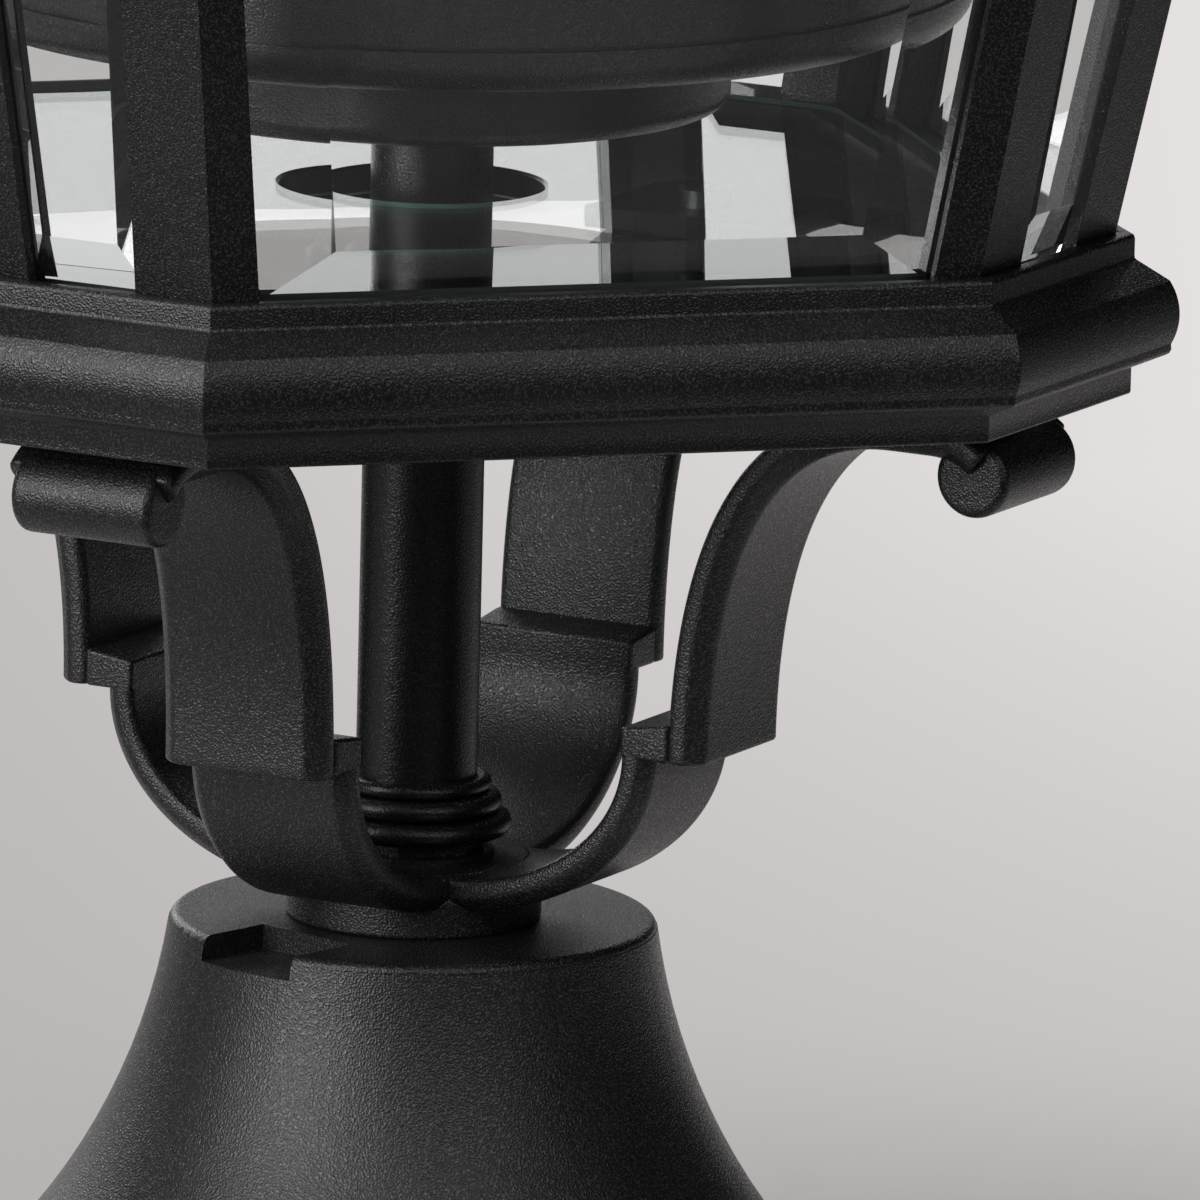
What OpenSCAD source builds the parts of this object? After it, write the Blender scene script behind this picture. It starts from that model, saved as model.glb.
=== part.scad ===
// Pedestal lantern for a pier or wall top: a flared cast pedestal, a yoke of four
// scrolled arms, a moulded eight-sided ring, a flaring cage with bevelled glass,
// a lamp pan on a central stem, and a lift-off roof held by a screw-on finial.
// Origin: centre of the pedestal's foot. Front wide side of the cage faces -Y.

/* [Pedestal] */
// Height of the flared pedestal
bell_h = 84; // [70:1:110]
// Diameter of the pedestal's flat top
bell_top_d = 80; // [76:1:90]
// Radius of the concave flare
flare_r = 108; // [100:1:116]
// Height of the flare's centre above the flat top
flare_rise = 14; // [10:1:18]
// Diameter of the pedestal's foot
foot_d = 176; // [174:1:190]
// Height of the foot's upright edge
foot_h = 8; // [6:1:10]
// Wall thickness of the pedestal
bell_wall = 4; // [3:0.5:5]
// Width of the notch in the pedestal's top edge
notch_w = 20; // [12:1:24]
// Depth of that notch
notch_h = 4; // [2:0.5:5]

/* [Yoke] */
// Height of the yoke from the pedestal to the ring
yoke_h = 96; // [92:1:100]
// Diameter of the round neck under the yoke
neck_d = 42; // [36:1:48]
// Width of each arm
arm_w = 30; // [26:1:34]
// Thickness of each arm
arm_t = 6.2; // [5:0.2:8]
// Thickness of the arms' lower loops
cradle_t = 5.4; // [4:0.2:7]
// Chamfer along an arm's outer edges
arm_chamfer = 2.7; // [1:0.1:3]
// Diameter of the scroll at the end of each arm
scroll_d = 13; // [10:0.5:14]

/* [Ring] */
// Half width of the ring between its wide sides, at the lips
ring_a = 100; // [98:1:104]
// Half width of the ring between its narrow sides, at the lips
ring_c = 116.4; // [114:0.2:120]
// Height of the ring moulding
ring_h = 26.4; // [26:0.2:30]
// How far the round moulding stands out from the lips
ring_bulge = 7; // [5:0.5:8]

/* [Cage] */
// Height of the glazed cage
cage_h = 200; // [180:5:240]
// How much the cage's half width grows for each millimetre of height
cage_flare = 0.177; // [0.12:0.001:0.2]
// Width of a post on a wide side
post_wide = 7.7; // [6:0.1:9]
// Width of a post on a narrow side
post_narrow = 14; // [12:0.5:15]
// Depth of a post
post_depth = 10; // [9:0.5:12]

/* [Glass] */
// Thickness of a pane
pane_t = 5; // [4:0.5:6]
// Thickness left at a pane's bevelled edge
pane_edge = 2.2; // [1.6:0.1:3]
// Width of the bevel along the sides of a wide pane
bevel_side = 15; // [8:1:16]
// Width of the bevel along top and bottom
bevel_end = 9.6; // [6:0.2:12]
// Thickness of the glass floor
floor_t = 5; // [4:0.5:5]
// Diameter of the hole in the glass floor
floor_hole_d = 37; // [30:1:44]

/* [Stem and lamp pan] */
// Outer diameter of the stem tube
stem_d = 20; // [16:1:24]
// Outer diameter of the threaded pipe that clamps everything
pipe_d = 10; // [8:1:12]
// Height of the pan's dish above the glass floor
dish_rise = 14.3; // [10:0.1:18]
// Diameter of the dish
dish_d = 96.8; // [80:1:110]
// Diameter of the lamp pan
pan_d = 165.6; // [150:1:170]
// Height of the lamp pan's lower half
pan_low_h = 8; // [6:1:12]
// Height of the lamp pan's upper half
pan_top_h = 26; // [20:1:34]
// Radius of the circle that the three candles stand on
candle_circle = 34; // [30:1:44]
// Diameter of a candle sleeve
sleeve_d = 27; // [24:1:30]
// Height of a candle sleeve
sleeve_h = 50; // [40:1:70]

/* [Roof and finial] */
// How far the roof's eave stands out from the cage
eave_out = 6; // [4:1:10]
// Height of the roof above its eave
roof_h = 74; // [60:1:90]
// Wall thickness of the roof
roof_wall = 3; // [2.5:0.5:4]
// Height of the finial
finial_h = 52; // [45:1:65]

/* [Hidden] */
// Smoothness of round forms
$fn = 96;
// Steps along the curves of the arms
arm_steps = 18;
cradle_steps = 12;
// Steps along the roof's curve
roof_steps = 12;
// Play between parts that slip together
gap = 0.2;
// A little more than nothing, so that cuts break through
eps = 0.01;

// Heights of the main joints above the foot
ring_z = bell_h + yoke_h;
cage_z = ring_z + ring_h;
cage_top = cage_z + cage_h;

// Pedestal: centre line of the flare's arc, and the rounding of its edges
flare_x = bell_top_d / 2 + sqrt(pow(flare_r, 2) - pow(flare_rise, 2));
bell_edge = 1.5;

// Yoke: radius of the arms' upright start, its height above the pedestal, the height of the
// ledge inside it and its fall toward the stem, the scrolls' radius from the centre, and the
// oval that the lower loops follow
arm_r = 57;
arm_foot = 34.2;
ledge_h = 6.3;
ledge_fall = 1.2;
scroll_r = 107;
cradle_x = 13;
cradle_rx = 35.3;
cradle_rz = 26.8;

// Rebate in the ring's top that the cage and the panes stand in
ring_lip = 2.8;
rebate_h = 2;
seat_z = cage_z - rebate_h;
glaze_h = cage_top - seat_z;
ring_wall = 4;
ledge_a = 82;
floor_z = cage_z - floor_t;
pad_t = 4;

// Cage planes: half widths at the foot of the posts and at the top
cage_inset = ring_lip + gap + cage_flare * rebate_h;
cage_a0 = ring_a - cage_inset;
cage_c0 = ring_c - cage_inset;
cage_grow = (cage_a0 + cage_flare * glaze_h) / cage_a0;
cage_a1 = cage_a0 * cage_grow;
cage_c1 = cage_c0 * cage_grow;
// Half lengths of the wide and narrow sides at both levels
wide0 = cage_c0 * sqrt(2) - cage_a0;
wide1 = cage_c1 * sqrt(2) - cage_a1;
narrow0 = cage_a0 * sqrt(2) - cage_c0;
narrow1 = cage_a1 * sqrt(2) - cage_c1;
// How much a post on a wide side narrows by the top
post_taper = 1.2;
// Width of the bevel along the sides of a narrow pane
bevel_narrow = 5;
// Thin edge of a post that laps over the glass, and how far it laps
flange_t = 2.2;
lap = 2;
rim_h = 8;

// Fasteners
screw_d = 4;
ring_screw_d = 5;
ring_screw_r = 95;
stud_d = 8;

// Stem stack, measured up from the pedestal's flat top
hub_top = 10.5;
hub_washer_t = 1;
hub_washer_d = 26;
hub_nut_h = 2.4;
hub_nut_w = 20;
bead_h = 3.7;
bead_r = 15.8;
cup_h = 3.5;
cup_r = 14.1;
ferrule_h = 2.6;
ferrule_r = stem_d / 2 + 2.4;
bead_z = bell_h + hub_top + hub_washer_t + hub_nut_h;
cup_z = bead_z + bead_h;
ferrule_z = cup_z + cup_h;
tube_z = ferrule_z + ferrule_h;
dish_z = cage_z + dish_rise;
collar_h = 4.2;
collar_r = stem_d / 2 + 4;
tube_top = dish_z - collar_h;
pan_z = cage_z + 29;
pan_mid = pan_z + pan_low_h;
pan_top = pan_mid + pan_top_h;
pan_wall = 2;
pipe_bottom = bell_h - 22;
pipe_top = pan_z + 16;

// Roof
eave_a = cage_a1 + eave_out;
eave_c = cage_c1 + eave_out;
gasket_t = 1.5;
roof_z = cage_top + gasket_t;
neck_top_d = 36;
roof_top = roof_z + roof_h;
bridge_t = 3;
bridge_screw_r = cage_a1 - 10.5;
finial_z = roof_top + 8;

// Corners of an eight-sided plan with half width a across the wide sides and c
// across the narrow ones.
function octagon(a, c) = let(h = c * sqrt(2) - a)
    [[h, -a], [a, -h], [a, h], [h, a], [-h, a], [-a, h], [-a, -h], [-h, -a]];

// Point on a cubic curve.
function bezier(p, t) = pow(1 - t, 3) * p[0] + 3 * t * pow(1 - t, 2) * p[1]
    + 3 * t * t * (1 - t) * p[2] + pow(t, 3) * p[3];

// Eight-sided moulding, mitred at the corners. Each station is [a, c, z], and the
// stations go round the section with the outer side rising.
module octagon_loft(stations) {
    n = len(stations);
    points = [for (s = stations, p = octagon(s[0], s[1])) [p[0], p[1], s[2]]];
    faces = [for (i = [0:n - 1], j = [0:7])
        let(k = (i + 1) % n, m = (j + 1) % 8)
        [i * 8 + j, k * 8 + j, k * 8 + m, i * 8 + m]];
    polyhedron(points, faces, convexity = 6);
}

// Moulding with the same section all round, given as [offset, height] points.
module octagon_moulding(a, c, z, section) {
    octagon_loft([for (p = section) [a + p[0], c + p[0], z + p[1]]]);
}

// Plate with an eight-sided outline.
module octagon_plate(a, c, z, h) {
    translate([0, 0, z])
        linear_extrude(h)
            polygon(octagon(a, c));
}

// Strap of width w carried along a path in the radial plane. Each station is
// [r, z, nx, nz]: a point of the centre line and its outward normal. The strap is t
// thick, its outer edges are chamfered by ch and its inner ones by ci.
module strap(stations, w, t, ch, ci) {
    n = len(stations);
    section = [[-w / 2, 1, -ch], [-w / 2 + ch, 1, 0], [w / 2 - ch, 1, 0], [w / 2, 1, -ch],
        [w / 2, -1, ci], [w / 2 - ci, -1, 0], [-w / 2 + ci, -1, 0], [-w / 2, -1, ci]];
    points = [for (s = stations, q = section)
        let(d = q[1] * t / 2 + q[2])
        [s[0] + s[2] * d, q[0], s[1] + s[3] * d]];
    sides = [for (i = [0:n - 2], j = [0:7])
        let(m = (j + 1) % 8)
        [i * 8 + j, (i + 1) * 8 + j, (i + 1) * 8 + m, i * 8 + m]];
    ends = [[for (j = [0:7]) j], [for (j = [7:-1:0]) (n - 1) * 8 + j]];
    polyhedron(points, concat(sides, ends), convexity = 6);
}

// Stations along a chain of points, with normals to the right of the way they run.
function path_stations(path) = let(n = len(path))
    [for (i = [0:n - 1])
        let(d = path[min(i + 1, n - 1)] - path[max(i - 1, 0)], u = d / norm(d))
        [path[i][0], path[i][1], u[1], -u[0]]];

// Point on a cage side: u along the side, z up, o inward from the side's plane,
// whose half width is d0 at the foot and d1 at the top.
function side_point(u, z, o, d0, d1) =
    [u, -(d0 + (d1 - d0) * (z - seat_z) / glaze_h - o), z];

// Half length of an opening that is w0 at the foot and w1 at the top.
function half_at(w0, w1, z) = w0 + (w1 - w0) * (z - seat_z) / glaze_h;

// Plain flared upright block on a cage side, between u0 and u1 at the foot and
// v0 and v1 at the top, and between depths o0 and o1.
module side_block(d0, d1, u0, u1, v0, v1, o0, o1) {
    points = [for (o = [o0, o1]) each [
        side_point(u0, seat_z, o, d0, d1), side_point(u1, seat_z, o, d0, d1),
        side_point(v1, cage_top, o, d0, d1), side_point(v0, cage_top, o, d0, d1)]];
    polyhedron(points, [[0, 3, 2, 1], [4, 5, 6, 7], [0, 1, 5, 4], [1, 2, 6, 5],
        [2, 3, 7, 6], [3, 0, 4, 7]]);
}

// Round bar along Z.
module bar(d, z0, z1) {
    translate([0, 0, z0])
        cylinder(d = d, h = z1 - z0);
}

// Pipe along Z.
module pipe(d, bore, z0, z1) {
    difference() {
        bar(d, z0, z1);
        bar(bore, z0 - 1, z1 + 1);
    }
}

module hex_nut(across_flats, bore, z0, h) {
    difference() {
        translate([0, 0, z0])
            cylinder(d = across_flats / cos(30), h = h, $fn = 6);
        bar(bore, z0 - 1, z0 + h + 1);
    }
}

// Copies for the four arms and the four narrow sides.
module on_corners() {
    for (a = [45:90:315])
        rotate([0, 0, a])
            children();
}

// Radius of the pedestal's outside at height z.
function flare_at(z) = flare_x - sqrt(pow(flare_r, 2) - pow(bell_h + flare_rise - z, 2));

// Section of the pedestal's flare, moved inward by t.
module flare_section(t, height) {
    difference() {
        translate([0, foot_h])
            square([foot_d / 2 - bell_edge - t, height - foot_h]);
        translate([flare_x, bell_h + flare_rise])
            circle(r = flare_r + t, $fn = 180);
    }
}

module bell_pedestal() {
    top_t = 6;
    top_r = flare_at(bell_h - bell_edge) - bell_edge - gap;
    color("#2b2b2d")
    difference() {
        rotate_extrude() {
            difference() {
                union() {
                    flare_section(0, bell_h - bell_edge);
                    square([top_r, bell_h]);
                    translate([top_r, bell_h - bell_edge])
                        circle(r = bell_edge, $fn = 48);
                    square([foot_d / 2 - bell_edge, foot_h]);
                    square([foot_d / 2, foot_h - bell_edge]);
                    translate([foot_d / 2 - bell_edge, foot_h - bell_edge])
                        circle(r = bell_edge, $fn = 48);
                }
                flare_section(bell_wall, bell_h - top_t);
                translate([0, -1])
                    square([foot_d / 2 - bell_wall, foot_h + 1]);
                translate([0, -1])
                    square([pipe_d / 2 + gap, bell_h + 2]);
            }
        }
        rotate([0, 0, 210])
            translate([25, -notch_w / 2, bell_h - notch_h])
                cube([30, notch_w, notch_h + 1]);
        for (a = [90:120:330])
            rotate([0, 0, a])
                translate([foot_d / 2 - 8, 0, foot_h / 2])
                    rotate([0, 90, 0])
                        cylinder(d = screw_d + gap, h = 12);
    }
}

// Steel plate inside the foot, bolted to the pier, with three tabs for the side screws.
module mounting_plate() {
    plate_d = foot_d - 2 * bell_wall - 2;
    tab_r = plate_d / 2;
    color("#9a9da0")
    difference() {
        union() {
            bar(plate_d, 0, 2.5);
            for (a = [90:120:330])
                rotate([0, 0, a])
                    translate([tab_r - 4, -7, 0])
                        cube([3.5, 14, foot_h - 0.5]);
        }
        bar(36, -1, 4);
        for (a = [45:90:315])
            rotate([0, 0, a])
                translate([60, 0, -1])
                    cylinder(d = 7, h = 5);
        for (a = [90:120:330])
            rotate([0, 0, a])
                translate([tab_r - 8, 0, foot_h / 2])
                    rotate([0, 90, 0])
                        cylinder(d = screw_d, h = 12);
    }
}

module side_screws() {
    color("#303032")
    for (a = [90:120:330])
        rotate([0, 0, a])
            translate([foot_d / 2 - 10, 0, foot_h / 2])
                rotate([0, 90, 0])
                    difference() {
                        cylinder(d = screw_d, h = 9.8);
                        translate([0, 0, 8])
                            cylinder(d = 2.3, h = 3, $fn = 6);
                    }
}

// Hollow threaded pipe that runs from inside the pedestal to inside the lamp pan.
module threaded_pipe() {
    color("#b9a36a")
        pipe(pipe_d, pipe_d - 3, pipe_bottom, pipe_top);
}

module bell_washer() {
    color("#b8bbbd")
        pipe(32, pipe_d + 2 * gap, bell_h - 8, bell_h - 6);
}

module bell_nut() {
    color("#b9a36a")
        hex_nut(20, pipe_d, bell_h - 14, 6);
}

// Upper part of an arm in the plane y = 0, reaching toward +X and ending in a scroll.
module yoke_arm() {
    mid = ring_z - arm_t / 2;
    rise = concat(
        [for (i = [0:arm_steps])
            bezier([[arm_r, bell_h + arm_foot], [arm_r, bell_h + 68], [67, mid], [92, mid]],
                i / arm_steps)],
        [for (i = [0:5])
            bezier([[99, mid], [102.5, mid], [105.5, mid - 0.8], [108.5, mid - 3.4]], i / 5)]);
    strap(path_stations(rise), arm_w, arm_t, arm_chamfer, 1);
    arm_ledge();
    translate([scroll_r, arm_w / 2 - arm_chamfer, ring_z - 9])
        rotate([90, 0, 0])
            scroll(arm_w - 2 * arm_chamfer);
}

// Ledge that joins an arm to its lower loop, with a top that falls toward the stem.
module arm_ledge() {
    inner = cradle_x + cradle_rx - cradle_t / 2;
    outer = arm_r - arm_t / 2 + 0.5;
    round_r = 1.2;
    translate([0, arm_w / 2, bell_h + arm_foot])
        rotate([90, 0, 0])
            linear_extrude(arm_w)
                polygon([[inner, 0], [outer, 0], [outer, ledge_h], [inner + round_r, ledge_h - ledge_fall],
                    [inner + 0.3 * round_r, ledge_h - ledge_fall - 0.3 * round_r],
                    [inner, ledge_h - ledge_fall - round_r]]);
}

// Lower parts of two opposite arms, one strap that runs down, across the hub and up.
module yoke_cradle() {
    half = [for (i = [0:cradle_steps])
        let(a = 84 * i / cradle_steps)
        [cradle_x + cradle_rx * cos(a), bell_h + arm_foot - cradle_rz * sin(a)]];
    side = concat([[cradle_x + cradle_rx, bell_h + arm_foot + 2]], half);
    across = concat([for (p = side) [-p[0], p[1]]],
        [for (i = [len(side) - 1:-1:0]) side[i]]);
    strap(path_stations(across), arm_w, cradle_t, arm_chamfer * 0.8, 0.8);
}

// Rolled end of an arm, a bar with rounded rims.
module scroll(length) {
    rim = 1.4;
    rotate_extrude($fn = 64) {
        square([scroll_d / 2 - rim, length]);
        translate([0, rim])
            square([scroll_d / 2, length - 2 * rim]);
        for (y = [rim, length - rim])
            translate([scroll_d / 2 - rim, y])
                circle(r = rim, $fn = 32);
    }
}

// Cast yoke: hub, round neck and four scrolled arms in one piece.
module yoke() {
    color("#29292b")
    difference() {
        union() {
            on_corners()
                yoke_arm();
            for (turn = [45, 135])
                rotate([0, 0, turn])
                    yoke_cradle();
            bar(neck_d, bell_h, bell_h + 6);
            bar(neck_d - 4, bell_h + 4, bell_h + hub_top);
        }
        bar(pipe_d + 2 * gap, bell_h - 1, bell_h + hub_top + 20);
        on_corners()
            translate([ring_screw_r, 0, ring_z - 5])
                cylinder(d = ring_screw_d - 0.8, h = 6);
    }
}

module hub_washer() {
    color("#3a3a3c")
        pipe(hub_washer_d, pipe_d + 2 * gap, bell_h + hub_top,
            bell_h + hub_top + hub_washer_t);
}

module hub_nut() {
    color("#353537")
        hex_nut(hub_nut_w, pipe_d, bell_h + hub_top + hub_washer_t, hub_nut_h);
}

// Disc of radius r and height h with a round edge, bored to pass the threaded pipe.
module rolled_disc(r, z, h) {
    rotate_extrude()
        difference() {
            union() {
                translate([r - h / 2, z + h / 2])
                    circle(d = h, $fn = 48);
                translate([0, z])
                    square([r - h / 2, h]);
            }
            translate([0, z - 1])
                square([pipe_d / 2 + gap, h + 2]);
        }
}

// Turned rings under the stem tube: a wide bead, a narrower cup and the tube's foot ring.
module bead_ring() {
    color("#29292b")
        rolled_disc(bead_r, bead_z, bead_h);
}

module stem_cup() {
    color("#303032")
        rolled_disc(cup_r, cup_z, cup_h);
}

module stem_ferrule() {
    color("#29292b")
        rolled_disc(ferrule_r, ferrule_z, ferrule_h);
}

module stem_tube() {
    color("#232325")
        pipe(stem_d, stem_d - 3, tube_z, tube_top);
}

// Rounded collar that the pan's dish sits on.
module stem_collar() {
    color("#232325")
        rolled_disc(collar_r, tube_top, collar_h);
}

// Round-headed screws that hold the ring down on the arms.
module ring_screws() {
    color("#77797b")
    on_corners()
        translate([ring_screw_r, 0, ring_z]) {
            bar(ring_screw_d - 0.8, -4.6, pad_t);
            difference() {
                bar(9, pad_t, pad_t + 3);
                translate([0, 0, pad_t + 1.5])
                    cylinder(d = 3.4, h = 3, $fn = 6);
            }
        }
}

// Outer side of the ring's moulding, from the bottom lip to the top lip.
function ring_outline() = let(b = ring_bulge, k = b / 7, s = ring_h / 26.4)
    concat([[-0.5, 0], [0, 0.5], [0, 4.4 * s], [5.4 * k, 6.9 * s], [5.9 * k, 7.4 * s]],
        [for (i = [0:8])
            let(a = -27 + 59 * i / 8)
            [b - 10.6 + 10.6 * cos(a), 13.3 * s + 10.6 * sin(a)]],
        [[0.2, 22.3 * s], [0, 22.6 * s], [0, ring_h - 0.6], [-0.6, ring_h]]);

// Cast ring: moulded outside, hollow below, with a rebate for the cage, a ledge
// for the glass floor and four pads that rest on the arms.
module lower_ring() {
    step = cage_inset + post_depth;
    inner = [[-ring_lip, ring_h], [-ring_lip, ring_h - rebate_h], [-step, ring_h - rebate_h],
        [-step, ring_h - floor_t], [ledge_a - ring_a, ring_h - floor_t],
        [ledge_a - ring_a, ring_h - floor_t - 4], [-ring_wall - 1, ring_h - floor_t - 4],
        [0, ring_h - floor_t - 9], [0, 9], [-ring_wall, 5.5], [-ring_wall, 0]];
    color("#29292b")
    difference() {
        union() {
            octagon_moulding(ring_a, ring_c, ring_z, concat(ring_outline(), inner));
            on_corners()
                translate([84, -17, ring_z])
                    cube([ring_c - 86, 34, pad_t]);
        }
        on_corners()
            translate([ring_screw_r, 0, ring_z - 1])
                cylinder(d = ring_screw_d + gap, h = pad_t + 2);
        cage_screw_places()
            cylinder(d = screw_d + gap, h = 40, center = true);
    }
}

// Places of the screws that hold the eight posts to the ring.
module cage_screw_places() {
    for (p = octagon(cage_a0 - 5.8, cage_c0 - 5.8))
        translate([p[0], p[1], seat_z])
            children();
}

module cage_screws() {
    grip = ring_h - rebate_h - (ring_h - floor_t - 4);
    color("#77797b")
    cage_screw_places() {
        bar(screw_d - 0.4, -grip, 8);
        bar(7, -grip - 2.4, -grip);
    }
}

// Clear glass plate under the lamp pan, with a hole for the stem.
module floor_glass() {
    color("#bfd8d2", 0.5)
    difference() {
        octagon_plate(cage_a0 - post_depth - gap, cage_c0 - post_depth - gap, floor_z,
            floor_t);
        bar(floor_hole_d, floor_z - 1, cage_z + 1);
    }
}

// Opening through two opposite sides of the cage, w0 wide at the foot and w1 at the
// top, reaching out to depth o from the side planes d0 and d1.
module opening(w0, w1, d0, d1, o) {
    points = [for (p = [[w0, d0 - o, seat_z], [w1, d1 - o, cage_top]])
        each [[-p[0], -p[1], p[2]], [p[0], -p[1], p[2]], [p[0], p[1], p[2]], [-p[0], p[1], p[2]]]];
    polyhedron(points, [[0, 1, 2, 3], [7, 6, 5, 4], [0, 4, 5, 1], [1, 5, 6, 2], [2, 6, 7, 3],
        [3, 7, 4, 0]]);
}

// Eight flaring posts and the rim that joins them at the top, cast in one piece.
module cage_frame() {
    rim_out = 2.5;
    rim_in = 14;
    color("#29292b")
    difference() {
        union() {
            difference() {
                octagon_loft([[cage_a0, cage_c0, seat_z], [cage_a1, cage_c1, cage_top],
                    [cage_a1 - post_depth, cage_c1 - post_depth, cage_top],
                    [cage_a0 - post_depth, cage_c0 - post_depth, seat_z]]);
                for (turn = [0, 90])
                    rotate([0, 0, turn]) {
                        opening(wide0 - post_wide, wide1 - post_wide + post_taper, cage_a0, cage_a1, -3);
                        opening(wide0 - post_wide + lap, wide1 - post_wide + post_taper + lap,
                            cage_a0, cage_a1, flange_t);
                    }
                for (turn = [45, 135])
                    rotate([0, 0, turn]) {
                        opening(narrow0 - post_narrow, narrow1 - post_narrow, cage_c0, cage_c1, -3);
                        opening(narrow0 - post_narrow + lap, narrow1 - post_narrow + lap,
                            cage_c0, cage_c1, flange_t);
                    }
            }
            octagon_moulding(cage_a1, cage_c1, cage_top - rim_h,
                [[-flange_t, 0], [0.5, 0], [rim_out, 2], [rim_out, rim_h], [-rim_in, rim_h],
                    [-rim_in, rim_h - 3], [-post_depth + 1.5, rim_h - 3], [-post_depth + 1.5, 2.5],
                    [-flange_t, 2.5]]);
        }
        cage_screw_places()
            cylinder(d = screw_d - 0.4, h = 17, center = true);
        for (s = [-1, 1])
            translate([0, s * bridge_screw_r, cage_top - 6])
                cylinder(d = screw_d - 0.4, h = 8);
    }
}

// Flared pane with a bevel all round its outer face, on a side whose planes are d0
// and d1 and whose opening is w0 and w1.
module pane(w0, w1, d0, d1, side) {
    z0 = seat_z;
    z1 = cage_top - rim_h + 2.3;
    lapped = lap - gap;
    rise = pane_t - pane_edge;
    back = flange_t + gap / 2 + rise * lap / side + pane_edge;
    rim = back - pane_edge;
    flat = back - pane_t;
    function w(z) = half_at(w0, w1, z) + lapped;
    function corner(s, z, inset, o) = side_point(s * (w(z) - inset), z, o, d0, d1);
    corners = [for (level = [[back, 0, 0], [rim, 0, 0], [flat, side, bevel_end]])
        each [corner(-1, z0 + level[2], level[1], level[0]), corner(1, z0 + level[2], level[1], level[0]),
            corner(1, z1 - level[2], level[1], level[0]), corner(-1, z1 - level[2], level[1], level[0])]];
    bands = [for (i = [0, 4], j = [0:3])
        let(m = (j + 1) % 4)
        [i + j, i + 4 + j, i + 4 + m, i + m]];
    color("#cfe0dc", 0.45)
        polyhedron(corners, concat([[0, 1, 2, 3], [11, 10, 9, 8]], bands));
}

module wide_pane(turn) {
    rotate([0, 0, turn])
        pane(wide0 - post_wide, wide1 - post_wide + post_taper, cage_a0, cage_a1, bevel_side);
}

module narrow_pane(turn) {
    rotate([0, 0, turn])
        pane(narrow0 - post_narrow, narrow1 - post_narrow, cage_c0, cage_c1, bevel_narrow);
}

module pane_front() { wide_pane(0); }
module pane_right() { wide_pane(90); }
module pane_back() { wide_pane(180); }
module pane_left() { wide_pane(270); }
module pane_front_right() { narrow_pane(45); }
module pane_back_right() { narrow_pane(135); }
module pane_back_left() { narrow_pane(225); }
module pane_front_left() { narrow_pane(315); }

// Slim beads behind the panes' upright edges that hold the glass in the cage.
module glazing_beads() {
    bead = 2.4;
    color("#29292b") {
        for (turn = [0:90:270])
            rotate([0, 0, turn]) {
                bead_pair(wide0 - post_wide + lap, wide1 - post_wide + post_taper + lap, cage_a0, cage_a1,
                    bevel_side, bead);
                rotate([0, 0, 45])
                    bead_pair(narrow0 - post_narrow + lap, narrow1 - post_narrow + lap, cage_c0,
                        cage_c1, bevel_narrow, bead);
            }
    }
}

module bead_pair(w0, w1, d0, d1, side, bead) {
    back = flange_t + gap / 2 + (pane_t - pane_edge) * lap / side + pane_edge;
    for (s = [0, 1])
        mirror([s, 0, 0])
            intersection() {
                side_block(d0, d1, w0 - bead, w0, w1 - bead, w1, back + eps, post_depth);
                translate([0, -cage_a0, cage_z + 0.5])
                    translate([-200, -200, 0])
                        cube([400, 400, cage_h - rim_h - 1]);
            }
}

// Shallow dish under the lamp pan.
module pan_dish() {
    wall = 1.6;
    r = dish_d / 2;
    round_r = 3;
    color("#333335")
    rotate_extrude($fn = 128)
        difference() {
            union() {
                translate([0, dish_z])
                    square([r - round_r, pan_z - dish_z]);
                translate([0, dish_z + round_r])
                    square([r, pan_z - dish_z - round_r]);
                translate([r - round_r, dish_z + round_r])
                    circle(r = round_r, $fn = 48);
            }
            translate([0, dish_z + wall])
                square([r - wall, pan_z - dish_z]);
            square([pipe_d / 2 + gap, 400]);
        }
}

// Lower half of the lamp pan, a round tray with a rolled bottom edge.
module lamp_pan() {
    r = pan_d / 2;
    round_r = 6;
    color("#2b2b2d")
    rotate_extrude($fn = 128)
        difference() {
            union() {
                translate([0, pan_z])
                    square([r - round_r, pan_low_h - 0.8]);
                translate([0, pan_z + round_r])
                    square([r, pan_low_h - round_r - 0.8]);
                translate([r - round_r, pan_z + round_r])
                    intersection() {
                        circle(r = round_r, $fn = 64);
                        translate([0, -round_r])
                            square(round_r);
                    }
                translate([0, pan_mid - 1])
                    square([r - 1, 1]);
            }
            translate([0, pan_z + pan_wall])
                square([r - 6, pan_low_h]);
            square([pipe_d / 2 + gap, 400]);
        }
}

// Upper half of the lamp pan, with a flat top that carries the three candles.
module pan_cover() {
    r = pan_d / 2;
    round_r = 3;
    color("#2b2b2d")
    difference() {
        rotate_extrude($fn = 128)
            difference() {
                union() {
                    translate([0, pan_mid])
                        square([r, pan_top_h - round_r]);
                    translate([0, pan_mid])
                        square([r - round_r, pan_top_h]);
                    translate([r - round_r, pan_top - round_r])
                        circle(r = round_r, $fn = 48);
                }
                translate([0, pan_mid - 1])
                    square([r - pan_wall, pan_top_h - pan_wall + 1]);
            }
        for (i = [1:3])
            candle_place(i)
                bar(8, pan_top - pan_wall - 1, pan_top + 1);
    }
}

module pan_nut() {
    color("#b9a36a")
        hex_nut(18, pipe_d, pan_z + pan_wall, 6);
}

// Place of candle i on the pan.
module candle_place(i) {
    rotate([0, 0, 120 * i - 30])
        translate([candle_circle, 0, 0])
            children();
}

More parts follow.
